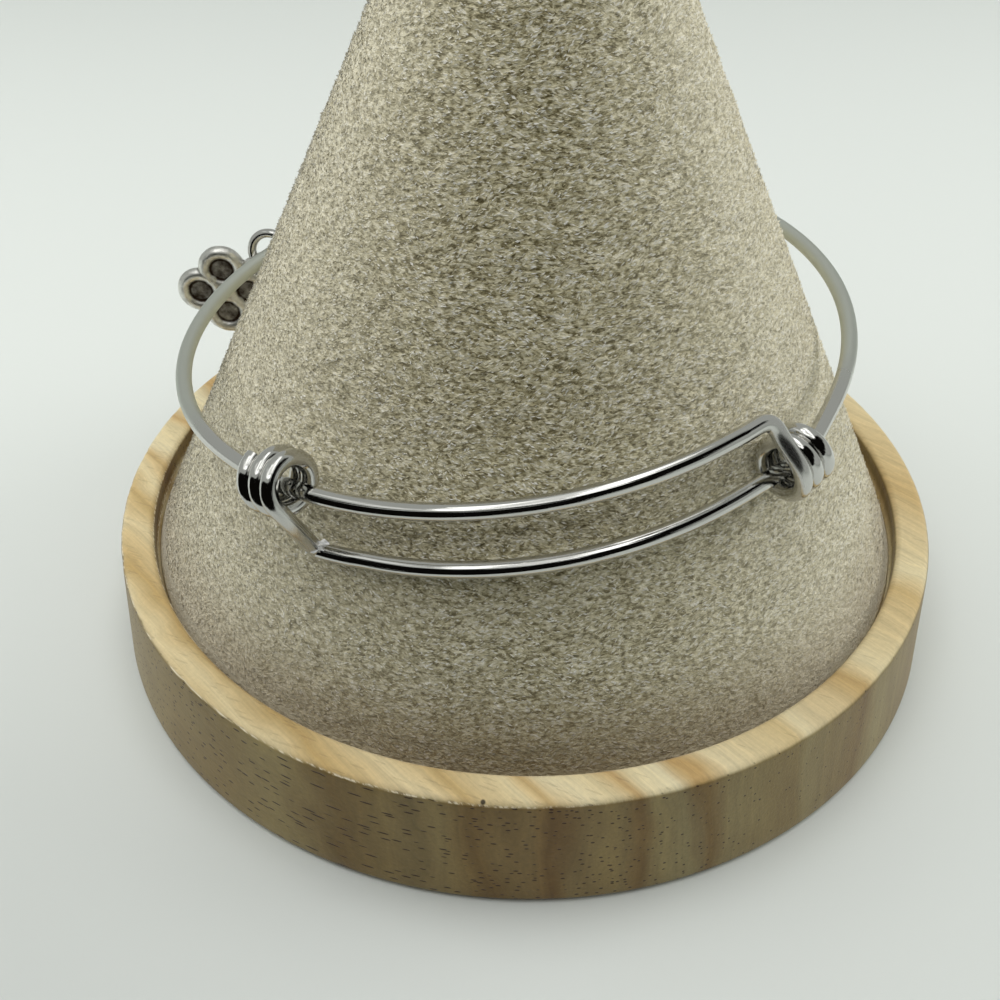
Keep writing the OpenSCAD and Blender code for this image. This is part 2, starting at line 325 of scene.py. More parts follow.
# one knot speck on the front of the rim
speck = addNode(tree, "VectorMath",
                {0: place.outputs["Object"], 1: [v * mm for v in wood["speckAt"]]}, operation="DISTANCE")
speckSpot = addNode(tree, "MapRange",
                    {"Value": speck.outputs["Value"], "From Max": wood["speckSize"] * mm,
                     "From Min": (wood["speckSize"] + wood["speckFade"]) * mm, "To Max": 0.9}, **eased)
specked = addNode(tree, "MixRGB", {"Fac": speckSpot, "Color1": splinteredAndHighlit, "Color2": linear("#1d160e")})
height = addNode(tree, "Math", {0: grit.outputs["Fac"], 1: fibres.outputs["Fac"]}, operation="ADD")
height = addNode(tree, "Math", {0: dark, 1: -0.8, 2: height}, operation="MULTIPLY_ADD")
relief = addNode(tree, "Bump", {"Strength": 0.5, "Distance": 0.00006, "Height": height})
shader = addNode(tree, "BsdfPrincipled",
                 {"Base Color": specked, "Roughness": 0.55, "Specular IOR Level": 0.35,
                  "Sheen Weight": 0.15, "Sheen Roughness": 0.4, "Normal": relief})
addNode(tree, "OutputMaterial", {"Surface": shader})

inner = base["rimRadius"] - base["rimWidth"]
edge, edgeSteps, floorHeight = base["edge"], base["edgeSteps"], base["height"] - base["recess"]
wallTop = base["height"] - edge
outline = [(0, 0), *arc(base["footRadius"] - edge, edge, edge, -90, 0, edgeSteps)]
for i in range(1, base["wallRows"]):  # rows on the wall, so that shading follows its slight taper
    part = i / base["wallRows"]
    outline.append((base["footRadius"] + (base["rimRadius"] - base["footRadius"]) * part,
                    edge + (wallTop - edge) * part))
outline += arc(base["rimRadius"] - edge, wallTop, edge, 0, 90, edgeSteps)
outline += arc(inner + edge, wallTop, edge, 90, 180, edgeSteps)
outline += [(inner, floorHeight), (0, floorHeight)]
woodenBase = turned("turnedBase", outline, base["sides"], woodFinish)
# the rim's outer edge is a little ragged where the cutter tore the long grain
for vertex in woodenBase.data.vertices:
    x, y, z = vertex.co / mm
    r = math.hypot(x, y)
    if z > wallTop - base["slack"] and r > base["rimRadius"] - edge - base["slack"]:
        torn = noise.noise(Vector((x, y, z)) * 0.9) + 0.6 * noise.noise(Vector((x, y, z)) * 2.3)
        torn *= base["raggedMore"] if x < base["raggedSide"] else base["raggedLess"]
        amount = 1 - base["ragged"] * max(0.0, torn) / r
        vertex.co.x, vertex.co.y = x * amount * mm, y * amount * mm
finishPiece(woodenBase, "turned_wood", "wooden_base")


# Cone, in mm and degrees. Its lumps begin lumpsBelow under the height of the base's rim.
cone = dict(groove=1.5, halfAngle=25.6, tip=6, sides=450, rows=200, tipSteps=16, gap=0.1, relief=0.16,
            lump=1.3, lumpsBelow=0.6)

# Thick synthetic suede, glued over the cone: brushed up in swirls, so that the pile shows pale
# fleck by fleck where it leans one way and dark where it parts, and light along the outline. It is
# matted in clumps, so many to the mm, drawn out round the cone; ground and pile share one noise for them.
# The cloth is fully darker and browner up to footTintFull and back to its own colour by footTintTop, in mm
# above the table; the pile ends pileBelow under the height of the base's rim.
nap = dict(stretch=(1, 1, 2), clumps=1.7, sheen=0.44, footTint=0.64, footTintFull=11, footTintTop=20, pileBelow=1.2,
           sway=1.3, rise=0.2)


def clumpNoise(tree, place):
    matted = addNode(tree, "VectorMath", {0: place, 1: [v / mm for v in nap["stretch"]]},
                     operation="MULTIPLY")
    return addNode(tree, "TexNoise",
                   {"Vector": matted, "Scale": nap["clumps"], "Detail": 3.0, "Roughness": 0.55,
                    "Distortion": 0.5})


# darker and browner towards the foot
def footTinted(tree, colour, footTint):
    place = addNode(tree, "TexCoord")
    up = addNode(tree, "SeparateXYZ", {0: place.outputs["Object"]})
    foot = addNode(tree, "MapRange",
                   {"Value": up.outputs["Z"], "From Min": nap["footTintTop"] * mm,
                    "From Max": nap["footTintFull"] * mm, "To Max": nap["footTint"]}, **eased)
    return addNode(tree, "MixRGB", {"Fac": foot, "Color1": colour, "Color2": linear(footTint)})


# The nap's sheen: seen at a slant, the standing fibre ends make it paler and less coloured.
def slantSheen(tree, colour, **normal):
    slant = addNode(tree, "LayerWeight", normal)
    paler = addNode(tree, "MapRange",
                    {"Value": slant.outputs["Facing"], "From Max": 0.5, "To Max": nap["sheen"]})
    return addNode(tree, "MixRGB", {"Fac": paler, "Color1": colour, "Color2": linear("#fbf5df")})


suedeFinish, tree = newMaterial("brushedSuedeGround")
place = addNode(tree, "TexCoord")
clumps = clumpNoise(tree, place.outputs["Object"])
ground = addNode(tree, "ValToRGB", {"Fac": clumps.outputs["Fac"]},
                 stops=[(0.32, "#5d5435"), (0.42, "#9a9170"), (0.54, "#cdc5a6"), (0.7, "#efe9d6")])
sheened = slantSheen(tree, footTinted(tree, ground, "#7d6743"))
relief = addNode(tree, "Bump", {"Strength": 0.9, "Distance": 0.0003, "Height": clumps.outputs["Fac"]})
shader = addNode(tree, "BsdfPrincipled",
                 {"Base Color": sheened, "Roughness": 0.95, "Specular IOR Level": 0.2,
                  "Sheen Weight": 0.8, "Sheen Roughness": 0.35, "Sheen Tint": linear("#efeadb"),
                  "Normal": relief})
addNode(tree, "OutputMaterial", {"Surface": shader})

halfAngle = math.radians(cone["halfAngle"])
slope = math.tan(halfAngle)
apex = base["height"] + (inner - cone["groove"]) / slope
foot = floorHeight + cone["gap"]
tipMiddle = apex - cone["tip"] / math.sin(halfAngle)
sideTop = tipMiddle + cone["tip"] * math.sin(halfAngle)
outline = [(0, foot)]
for i in range(cone["rows"] + 1):
    z = foot + (sideTop - foot) * i / cone["rows"]
    outline.append(((apex - z) * slope, z))
outline += arc(0, tipMiddle, cone["tip"], cone["halfAngle"], 90, cone["tipSteps"])[1:]
outline[-1] = (0, outline[-1][1])
fabricCone = turned("suedeCone", outline, cone["sides"], suedeFinish)
# low lumps of matted pile, pressed in rather than raised, and none down in the groove
places, normals = placesAndNormals(fabricCone.data)
for at, place, normal in zip(places / cone["lump"], places, normals):
    if place[2] > base["height"] - cone["lumpsBelow"]:
        depth = 0.5 + 0.6 * noise.noise(at) + 0.35 * noise.noise(at * 2.1)
        place -= normal * cone["relief"] * min(1.0, max(0.0, depth))
fabricCone.data.vertices.foreach_set("co", (places * mm).ravel())
fabricCone.data.update()
finishPiece(fabricCone, "napped_suede", "fabric_cone")


# A Geometry Nodes tree with named inputs beside its starting geometry and finish. Gives the tree and
# those inputs.
def newTree(name, **kinds):
    tree = bpy.data.node_groups.new(name, "GeometryNodeTree")
    for label, kind in {"Geometry": "Geometry", **kinds, "Finish": "Material"}.items():
        tree.interface.new_socket(label, in_out="INPUT", socket_type="NodeSocket" + kind)
    tree.interface.new_socket("Geometry", in_out="OUTPUT", socket_type="NodeSocketGeometry")
    return tree, addNode(tree, "NodeGroupInput").outputs


# Ends a tree in real geometry with its finish.
def endTree(tree, geometry, finish):
    real = addNode(tree, "GeometryNodeRealizeInstances", {"Geometry": geometry})
    finished = addNode(tree, "GeometryNodeSetMaterial", {"Geometry": real, "Material": finish})
    addNode(tree, "NodeGroupOutput", {"Geometry": finished})
    return tree


# Runs a Geometry Nodes tree on a starting mesh and keeps the result as a plain mesh.
def grown(name, start, tree, values):
    source = newObject(name + "Source", start)
    modifier = source.modifiers.new("grow", "NODES")
    modifier.node_group = tree
    named = {item.name: item.identifier for item in tree.interface.items_tree if item.in_out == "INPUT"}
    for key, value in values.items():
        modifier[named[key]] = value
    mesh = bpy.data.meshes.new_from_object(source.evaluated_get(bpy.context.evaluated_depsgraph_get()))
    source.modifiers.clear()
    bpy.data.objects.remove(source)
    mesh.name = name
    return newObject(name, mesh)


# One leaf of pile is a slim kite that lies along the swirl, lifted and rolled by its own random amount.
# It stands for a tuft of fibres, which are too fine to show one by one.
def pileTree():
    tree, given = newTree("suedePile", Density="Float", Length="Float", Width="Float", Lift="Float",
                          Swirl="Float", Seed="Int")
    place = addNode(tree, "GeometryNodeInputPosition")
    # the same clumps as the ground's, and fewer leaves in the partings between them
    clump = clumpNoise(tree, place)
    thick = addNode(tree, "MapRange",
                    {"Value": clump.outputs["Fac"], "From Min": 0.34, "From Max": 0.42, "To Min": 0.25})
    density = addNode(tree, "Math", {0: thick, 1: given["Density"]}, operation="MULTIPLY")
    spots = addNode(tree, "GeometryNodeDistributePointsOnFaces",
                    {"Mesh": given["Geometry"], "Density": density, "Seed": given["Seed"]})
    swirlScale = addNode(tree, "Math", {0: 1.0, 1: given["Swirl"]}, operation="DIVIDE")
    swirl = addNode(tree, "TexNoise", {"Vector": place, "Scale": swirlScale, "Detail": 1.5})
    # brushed mostly round and up to the right, turned by the swirl
    sway = addNode(tree, "VectorMath",
                   {0: swirl.outputs["Color"], 1: [2 * nap["sway"]] * 3, 2: [-nap["sway"]] * 3},
                   operation="MULTIPLY_ADD")
    roundCone = addNode(tree, "VectorMath", {0: (0.0, 0.0, 1.0), 1: spots.outputs["Normal"]},
                        operation="CROSS_PRODUCT")
    brushed = addNode(tree, "VectorMath", {0: roundCone, 1: (0, 0, nap["rise"])}, operation="ADD")
    flow = addNode(tree, "VectorMath", {0: brushed, 1: sway}, operation="ADD")
    laid = addNode(tree, "FunctionNodeAlignRotationToVector",
                   {"Rotation": spots.outputs["Rotation"], "Vector": flow}, axis="X", pivot_axis="Z")
    turnSeed, sizeSeed, toneSeed = [addNode(tree, "Math", {0: given["Seed"], 1: n}, operation="ADD")
                                    for n in (11, 23, 37)]
    # rolled, lifted and turned at random, in radians
    spread = addNode(tree, "FunctionNodeRandomValue",
                     {0: (-0.9, -1.0, -0.5), 1: (0.9, 0.0, 0.5), "Seed": turnSeed},
                     data_type="FLOAT_VECTOR")
    spreadParts = addNode(tree, "SeparateXYZ", {0: spread})
    lifted = addNode(tree, "Math", {0: spreadParts.outputs["Y"], 1: given["Lift"]}, operation="MULTIPLY")
    turn = addNode(tree, "CombineXYZ",
                   {"X": spreadParts.outputs["X"], "Y": lifted, "Z": spreadParts.outputs["Z"]})
    posed = addNode(tree, "FunctionNodeRotateRotation",
                    {0: laid, 1: addNode(tree, "FunctionNodeEulerToRotation", {0: turn})},
                    rotation_space="LOCAL")
    # length and width vary, and so does how light a leaf is, besides its clump
    sizes = addNode(tree, "FunctionNodeRandomValue",
                    {0: (0.45, 0.7, 1.0), 1: (1.25, 1.3, 1.0), "Seed": sizeSeed},
                    data_type="FLOAT_VECTOR")
    sizeParts = addNode(tree, "SeparateXYZ", {0: sizes})
    long = addNode(tree, "Math", {0: sizeParts.outputs["X"], 1: given["Length"]}, operation="MULTIPLY")
    wide = addNode(tree, "Math", {0: sizeParts.outputs["Y"], 1: given["Width"]}, operation="MULTIPLY")
    scale = addNode(tree, "CombineXYZ", {"X": long, "Y": wide, "Z": long})
    tone = addNode(tree, "FunctionNodeRandomValue", {"Seed": toneSeed})
    ownTone = addNode(tree, "Math", {0: tone.outputs[1], 1: 0.72}, operation="MULTIPLY")
    mixed = addNode(tree, "Math", {0: clump.outputs["Fac"], 1: 0.85, 2: ownTone},
                    operation="MULTIPLY_ADD")
    stored = addNode(tree, "GeometryNodeStoreNamedAttribute",
                     {"Geometry": spots.outputs["Points"], "Name": "tone", "Value": mixed})
    # the ground's own normal goes with each leaf, so that the cloth shades as one felted surface
    stored = addNode(tree, "GeometryNodeStoreNamedAttribute",
                     {"Geometry": stored, "Name": "stand", "Value": spots.outputs["Normal"]},
                     data_type="FLOAT_VECTOR")
    kite = addNode(tree, "GeometryNodeMeshCircle", {"Vertices": 4, "Radius": 0.5}, fill_type="NGON")
    rooted = addNode(tree, "GeometryNodeTransform", {"Geometry": kite, "Translation": (0.42, 0.0, 0.0)})
    planted = addNode(tree, "GeometryNodeInstanceOnPoints",
                      {"Points": stored, "Instance": rooted, "Rotation": posed, "Scale": scale})
    return endTree(tree, planted, given["Finish"])


# The pile's own fibres: polyester floss, matt with a pale sheen, each leaf a little lighter or darker.
pileFinish, tree = newMaterial("brushedSuedePile")
leafTone = addNode(tree, "Attribute", attribute_name="tone")
leafColour = addNode(tree, "ValToRGB", {"Fac": leafTone.outputs["Fac"]},
                     stops=[(0.36, "#766d4d"), (0.5, "#8a8160"), (0.64, "#bfb693"), (0.78, "#e0d8b8"),
                            (0.93, "#f4efdd"), (1.0, "#fdfbf4")])
stand = addNode(tree, "Attribute", attribute_name="stand")
own = addNode(tree, "NewGeometry")
leaning = addNode(tree, "Mix", {0: 0.4, 4: stand.outputs["Vector"], 5: own.outputs["Normal"]},
                  data_type="VECTOR")
shaded = addNode(tree, "VectorMath", {0: leaning.outputs[1]}, operation="NORMALIZE")
sheened = slantSheen(tree, footTinted(tree, leafColour, "#8a7048"), Normal=stand.outputs["Vector"])
leaf = addNode(tree, "BsdfPrincipled",
               {"Base Color": sheened, "Roughness": 0.8, "Specular IOR Level": 0.3, "Sheen Weight": 1.0,
                "Sheen Roughness": 0.3, "Sheen Tint": linear("#f6ecd2"),
                "Specular Tint": linear("#fff0d0"), "Normal": shaded})
# light comes through the leaves too, which keeps the outline pale
through = addNode(tree, "BsdfTranslucent", {"Color": sheened})
shader = addNode(tree, "MixShader", {0: 0.3, 1: leaf, 2: through})
addNode(tree, "OutputMaterial", {"Surface": shader})

# two layers, a short matted one and a longer loose one. Lengths in mm, leaves to the square mm.
pile = dict(short=dict(density=9.6, length=0.46, width=0.17, lift=0.4, swirl=5, seed=3),
            loose=dict(density=9.6, length=0.5, width=0.1, lift=0.6, swirl=6, seed=8))
suedePile = pileTree()
standing = bmesh.new()
standing.from_mesh(fabricCone.data)
pileFrom = (base["height"] - nap["pileBelow"]) * mm
bmesh.ops.delete(standing, geom=[f for f in standing.faces if f.calc_center_median().z < pileFrom],
                 context="FACES")
ground = bpy.data.meshes.new("pileGround")
standing.to_mesh(ground)
standing.free()
for layer, k in pile.items():
    piece = grown(layer + "Pile", ground.copy(), suedePile,
                  {"Density": k["density"] * 1e6, "Length": k["length"] * mm, "Width": k["width"] * mm,
                   "Lift": k["lift"], "Swirl": k["swirl"] * mm, "Seed": k["seed"], "Finish": pileFinish})
    finishPiece(piece, "napped_suede")

# Bangle wire. One wire, both ends coiled round the other's strand. In mm and degrees; an ease, a share
# or a part is a part of a length, and cutEnd of the thickness. A coil has coilSteps points to the turn,
# and a strand has one every strandStep degrees.
bangle = dict(wire=1.5, radius=31.9, middle=(-1.45, 0.27, 32.25), tilt=8.3, pitch=0.6, strandGap=6.2,
              coilRadius=2.3, coilPitch=1.58, coilSteps=44, legSteps=20, bendSteps=13, sides=28,
              easeFrom=48, leadAngle=6, leadShare=0.3, strandStart=9, strandStep=1.2, passAngle=48,
              passWidth=7, legEase=0.4, legPart=(0.05, 0.96), bendEase=0.35, cutEnd=0.86)
leftKnot = dict(coilAt=-35.6, coilOut=0.15, coilUp=0.45, yaw=6, dip=-8, turns=2.28, last=110, bendAt=-32.2,
                bendOut=0.3, bendUp=-0.1, bend=0.35, passOut=0.45, passUp=-0.25)
rightKnot = dict(coilAt=-45.4, coilOut=0.55, coilUp=-0.45, yaw=0, dip=0, turns=2.35, last=90, bendAt=-41.5,
                 bendOut=0, bendUp=0.3, bend=1.6, passOut=0, passUp=0)


def onRing(angle, out, up):
    a = math.radians(angle)
    r = bangle["radius"] + out
    return np.array((r * math.sin(a), -r * math.cos(a), up))


def strandUp(angle):
    level = -bangle["strandGap"] / 2
    return level if angle < bangle["easeFrom"] else level * (180 - angle) / (180 - bangle["easeFrom"])


def unit(v):
    return v / np.linalg.norm(v)


# Half of the wire: a coil round the upper strand on the left, down the leg, round the bend, and on round
# the hoop to the back.
def halfWire(k):
    middle = onRing(k["coilAt"], k["coilOut"], bangle["strandGap"] / 2 + k["coilUp"])
    a, y, d = (math.radians(k[n]) for n in ("coilAt", "yaw", "dip"))
    along, outward = np.array((math.cos(a), math.sin(a), 0)), np.array((math.sin(a), -math.cos(a), 0))
    up = np.array((0, 0, 1.0))
    yawed, side = along * math.cos(y) + outward * math.sin(y), outward * math.cos(y) - along * math.sin(y)
    axis, top = yawed * math.cos(d) - up * math.sin(d), up * math.cos(d) + yawed * math.sin(d)
    points = []
    for s in np.linspace(-k["turns"], 0, int(bangle["coilSteps"] * k["turns"])):
        p = math.radians(k["last"] + 360 * s)
        points.append(middle + axis * bangle["coilPitch"] * (s + k["turns"] / 2)
                      + bangle["coilRadius"] * (side * math.sin(p) + top * math.cos(p)))
    start, leaving = points[-1], unit(points[-1] - points[-2])
    level = -bangle["strandGap"] / 2
    corner = onRing(k["bendAt"], k["bendOut"], k["bendUp"] + level)
    share = bangle["leadShare"]
    following = onRing(k["bendAt"] + bangle["leadAngle"], share * k["bendOut"],
                       share * k["bendUp"] + level)
    down = unit(corner - start)
    bendStart, bendEnd = corner - down * k["bend"], corner + unit(following - corner) * k["bend"]
    reach = np.linalg.norm(bendStart - start)
    handles = (start, start + leaving * reach * bangle["legEase"],
               bendStart - down * reach * bangle["bendEase"], bendStart)
    for v in np.linspace(*bangle["legPart"], bangle["legSteps"]):
        points.append((1 - v) ** 3 * handles[0] + 3 * v * (1 - v) ** 2 * handles[1]
                      + 3 * v * v * (1 - v) * handles[2] + v**3 * handles[3])
    for v in np.linspace(0, 1, bangle["bendSteps"]):
        points.append((1 - v) ** 2 * bendStart + 2 * v * (1 - v) * corner + v * v * bendEnd)
    for v in (0.35, 0.7, 1.0):
        points.append(bendEnd + (following - bendEnd) * v)
    first = k["bendAt"] + bangle["strandStart"]
    for angle in np.linspace(first, 180, int((180 - first) / bangle["strandStep"])):
        near = math.exp(-(((angle - bangle["passAngle"]) / bangle["passWidth"]) ** 2))
        points.append(onRing(angle, k["passOut"] * near, strandUp(angle) + k["passUp"] * near))
    return np.array(points)


# Turns and lifts points from the bangle's own plane to where it lies on the cone, in mm.
def hung(points):
    tilt = Matrix.Rotation(-math.radians(bangle["tilt"]), 3, "Y")
    tilt = tilt @ Matrix.Rotation(math.radians(bangle["pitch"]), 3, "X")
    return np.asarray(points) @ np.array(tilt).T + np.array(bangle["middle"])


# Geometry Nodes tree that sweeps a round bar along a line of points. "straight" is the place on the
# bar as if it were pulled straight, so that a finish can follow it.
def barTree():
    tree, given = newTree("roundBar", Thickness="Float", Sides="Int", Closed="Bool")
    radius = addNode(tree, "Math", {0: given["Thickness"], 1: 0.5}, operation="MULTIPLY")
    circle = addNode(tree, "GeometryNodeCurvePrimitiveCircle",
                     {"Resolution": given["Sides"], "Radius": radius})
    across = addNode(tree, "GeometryNodeInputPosition")
    ringCapture = addNode(tree, "GeometryNodeCaptureAttribute", {"Geometry": circle.outputs["Curve"]})
    ringCapture.capture_items.new("VECTOR", "across")
    tree.links.new(across.outputs[0], ringCapture.inputs[1])
    line = addNode(tree, "GeometryNodeMeshToCurve", {"Mesh": given["Geometry"]})
    length = addNode(tree, "GeometryNodeSplineParameter")
    lineCapture = addNode(tree, "GeometryNodeCaptureAttribute", {"Geometry": line.outputs["Curve"]})
    lineCapture.capture_items.new("FLOAT", "length")
    tree.links.new(length.outputs["Length"], lineCapture.inputs[1])
    swept = addNode(tree, "GeometryNodeCurveToMesh",
                    {"Curve": lineCapture, "Profile Curve": ringCapture, "Fill Caps": given["Closed"]})
    split = addNode(tree, "SeparateXYZ", {0: ringCapture.outputs[1]})
    straight = addNode(tree, "CombineXYZ",
                       {"X": lineCapture.outputs[1], "Y": split.outputs["X"], "Z": split.outputs["Y"]})
    stored = addNode(tree, "GeometryNodeStoreNamedAttribute",
                     {"Geometry": swept, "Name": "straight", "Value": straight},
                     data_type="FLOAT_VECTOR")
    smooth = addNode(tree, "GeometryNodeSetShadeSmooth", {"Geometry": stored})
    return endTree(tree, smooth, given["Finish"])


# A polyline mesh in metres; thick is the bar's relative thickness at each point.
def lineMesh(name, points, thick):
    mesh = bpy.data.meshes.new(name)
    edges = [(i, i + 1) for i in range(len(points) - 1)]
    mesh.from_pydata([tuple(p) for p in np.asarray(points) * mm], edges, [])
    radius = mesh.attributes.new("radius", "FLOAT", "POINT")
    radius.data.foreach_set("value", np.asarray(thick, dtype=np.float32))
    return mesh


roundBar = barTree()
cutAngle = math.radians(50)  # edges sharper than this stay crisp: the bars' cut ends

# Drawn stainless wire, tumbled bright: mirror-like where the two front strands rub on each other and
# softer round the sides, with fine lines lengthwise from the drawing die, drawn wide enough to show. The
# leg between coil and bend was gripped and bent, which left it dull. Lengths in mm, along the wire from
# its nearer end.
steel = dict(gripMiddle=36.3, gripReach=2.6, gripFade=2, brightTo=92, softFrom=100, wireLength=320.8,
             lineWidth=0.1, lineLength=14)
steelFinish, tree = newMaterial("drawnPolishedStainless")
straight = addNode(tree, "Attribute", attribute_name="straight")
alongWire = addNode(tree, "SeparateXYZ", {0: straight.outputs["Vector"]})
alongInMm = addNode(tree, "Math", {0: alongWire.outputs["X"], 1: 1 / mm}, operation="MULTIPLY")
fromEnd = addNode(tree, "Math", {0: alongInMm, 1: steel["wireLength"] / 2}, operation="PINGPONG")
soft = addNode(tree, "MapRange",
               {"Value": fromEnd, "From Min": steel["brightTo"], "From Max": steel["softFrom"]}, **eased)
fromGrip = addNode(tree, "Math", {0: fromEnd, 1: steel["gripMiddle"]}, operation="SUBTRACT")
fromGrip = addNode(tree, "Math", {0: fromGrip}, operation="ABSOLUTE")
gripped = addNode(tree, "MapRange",
                  {"Value": fromGrip, "From Min": steel["gripReach"] + steel["gripFade"],
                   "From Max": steel["gripReach"], "To Max": 0.2}, **eased)
lineScale = [1 / mm / steel[n] for n in ("lineLength", "lineWidth", "lineWidth")]
drawn = addNode(tree, "VectorMath", {0: straight.outputs["Vector"], 1: lineScale}, operation="MULTIPLY")
lines = addNode(tree, "TexNoise", {"Vector": drawn, "Scale": 1.0})
rough = addNode(tree, "MapRange", {"Value": soft, "To Min": 0.03, "To Max": 0.5})
rough = addNode(tree, "Math", {0: rough, 1: gripped}, operation="ADD")
lined = addNode(tree, "Math", {0: lines.outputs["Fac"], 1: 0.07, 2: rough}, operation="MULTIPLY_ADD")
drawLines = addNode(tree, "Bump",
                    {"Strength": 0.8, "Distance": 0.000018, "Height": lines.outputs["Fac"]})
steelColour = addNode(tree, "MixRGB",
                      {"Fac": soft, "Color1": linear("#cdccc8"), "Color2": linear("#d0d3cb")})
shader = addNode(tree, "BsdfPrincipled",
                 {"Base Color": steelColour, "Metallic": 1.0, "Roughness": lined, "Normal": drawLines})
addNode(tree, "OutputMaterial", {"Surface": shader})

left, right = halfWire(leftKnot), halfWire(rightKnot)
path = hung(np.concatenate([left, right[-2::-1] * (-1, 1, -1)]))
thick = np.ones(len(path))
thick[[0, -1]] = bangle["cutEnd"]
wire = grown("bangleWire", lineMesh("wireLine", path, thick), roundBar,
             {"Thickness": bangle["wire"] * mm, "Sides": bangle["sides"], "Closed": True,
              "Finish": steelFinish})
# The burr: plain matt white, a painted glint standing for light caught on freshly torn steel.
burrGlintFinish, tree = newMaterial("burrPaintedGlint")
shader = addNode(tree, "BsdfPrincipled",
                 {"Base Color": linear("#ffffff"), "Roughness": 0.35, "Specular IOR Level": 1.0})
addNode(tree, "OutputMaterial", {"Surface": shader})
wire.data.materials.append(burrGlintFinish)

# The lower left bend was made with pliers: it is pinched flat, and carries a small torn burr of metal at
# the root of the front strand, painted white as a glint. Sizes in mm; pathFrom and pathTo are points of
# the path on both sides of the bend.
pinch = dict(reach=1.3, squeeze=0.12, pathFrom=136, pathTo=140, burrAt=(0.1, -0.3, 0.68),
             burrSize=(0.8, 0.48, 0.54), torn=0.85)
cornerAt = Vector(hung([onRing(leftKnot["bendAt"], leftKnot["bendOut"],
                               leftKnot["bendUp"] - bangle["strandGap"] / 2)])[0])
wayOn = Vector(path[pinch["pathTo"]] - path[pinch["pathFrom"]]).normalized()
flat = Vector(pinch["burrAt"]).cross(wayOn).normalized()
shape = bmesh.new()
shape.from_mesh(wire.data)
for vertex in shape.verts:
    at = vertex.co / mm - cornerAt
    near = max(0.0, 1 - (at.length / pinch["reach"]) ** 2)
    vertex.co -= flat * flat.dot(at) * pinch["squeeze"] * near * mm
burr = bmesh.ops.create_icosphere(shape, subdivisions=3, radius=1.0)["verts"]
for vertex in burr:
    way = vertex.co.copy()
    torn = 1 + pinch["torn"] * (noise.noise(way * 1.9) + noise.noise(way * 4.5))
    way = Vector([v * n for v, n in zip(way * torn, pinch["burrSize"])])
    vertex.co = (cornerAt + Vector(pinch["burrAt"]) + way) * mm
for face in {f for vertex in burr for f in vertex.link_faces}:
    face.smooth, face.material_index = False, 1
shape.to_mesh(wire.data)
shape.free()
wire.data.set_sharp_from_angle(angle=cutAngle)
finishPiece(wire, "polished_steel", "bangle_wire")

# Jump ring and the eye's place on it, in mm and degrees. It is bent shut from a cut length, so it has a
# fine slit between slitFrom and slitTo.
link = dict(hangAngle=-125, radius=2.2, wire=1.0, lean=(-0.88, 0.12, -0.46), gap=0.1, slitFrom=58,
            slitTo=62, sides=20, steps=72)
hangPoint, nextPoint = hung([onRing(a, 0, -strandUp(-a))
                             for a in (link["hangAngle"], link["hangAngle"] + 1)])
hangAlong = unit(nextPoint - hangPoint)
lean = unit(np.array(link["lean"]))
linkAxis = unit(hangAlong - np.dot(hangAlong, lean) * lean)
clear = link["wire"] / 2 + bangle["wire"] / 2 + link["gap"]
linkOut = link["radius"] - clear / np.dot(linkAxis, hangAlong)
linkMiddle = hangPoint + lean * linkOut
eyeMiddle = linkMiddle + lean * link["radius"]
eyeAxis = np.cross(linkAxis, lean)
points = [linkMiddle + link["radius"] * (lean * math.cos(a) + eyeAxis * math.sin(a))
          for a in np.radians(np.linspace(link["slitTo"], 360 + link["slitFrom"], link["steps"]))]
jumpRing = grown("jumpRing", lineMesh("ringLine", points, np.ones(len(points))), roundBar,
                 {"Thickness": link["wire"] * mm, "Sides": link["sides"], "Closed": True,
                  "Finish": steelFinish})
jumpRing.data.set_sharp_from_angle(angle=cutAngle)
finishPiece(jumpRing, "steel_link", "jump_ring")

# Charm: a cast flower with dished petals. Sizes in mm. A petal's floor is blacked to blackTo from its
# middle, and fully to blackFull.
charm = dict(petals=4, petalRadius=2.7, petalReach=2.7, rim=1.5, floor=0.7, boss=1.1, eyeRadius=1.1,
             eyeWire=0.8, eyeAngle=45, eyeReach=5.4, stem=1.2, grain=0.085, soften=5, evened=40,
             blurred=3, pitted=0.05, blackTo=1.6, blackFull=1.1, blackDepth=0.05, around=64)


# Adds a torus to a bmesh, turned and moved by "place".
def addTorus(shells, place, middleRadius, thick, around=charm["around"], sides=20):
    grid = [[shells.verts.new(place @ Vector(((middleRadius + thick / 2 * math.cos(v)) * math.cos(u),
                                              (middleRadius + thick / 2 * math.cos(v)) * math.sin(u),
                                              thick / 2 * math.sin(v))))
             for v in (2 * math.pi * j / sides for j in range(sides))]
            for u in (2 * math.pi * i / around for i in range(around))]
    for i in range(around):
        for j in range(sides):
            k, m = (i + 1) % around, (j + 1) % sides
            shells.faces.new((grid[i][j], grid[k][j], grid[k][m], grid[i][m]))


eyeSide = math.radians(charm["eyeAngle"])
charmMiddle = eyeMiddle - charm["eyeReach"] * np.array((math.cos(eyeSide), 0, math.sin(eyeSide)))
facingFront = Matrix.Translation(charmMiddle) @ Matrix.Rotation(math.radians(90), 4, "X")
shells = bmesh.new()
for i in range(charm["petals"]):
    out = Matrix.Rotation(2 * math.pi * i / charm["petals"], 4, "Z")
    out = out @ Matrix.Translation((charm["petalReach"], 0, 0))
    ringRadius = charm["petalRadius"] - charm["rim"] / 2
    addTorus(shells, facingFront @ out, ringRadius, charm["rim"])
    bmesh.ops.create_cone(shells, cap_ends=True, segments=charm["around"], radius1=ringRadius,
                          radius2=ringRadius, depth=charm["floor"], matrix=facingFront @ out)
bmesh.ops.create_icosphere(shells, subdivisions=4, radius=charm["boss"], matrix=facingFront)
stemLength = charm["eyeReach"] - charm["eyeRadius"] - charm["petalReach"]
stemPlace = facingFront @ Matrix.Rotation(eyeSide, 4, "Z")
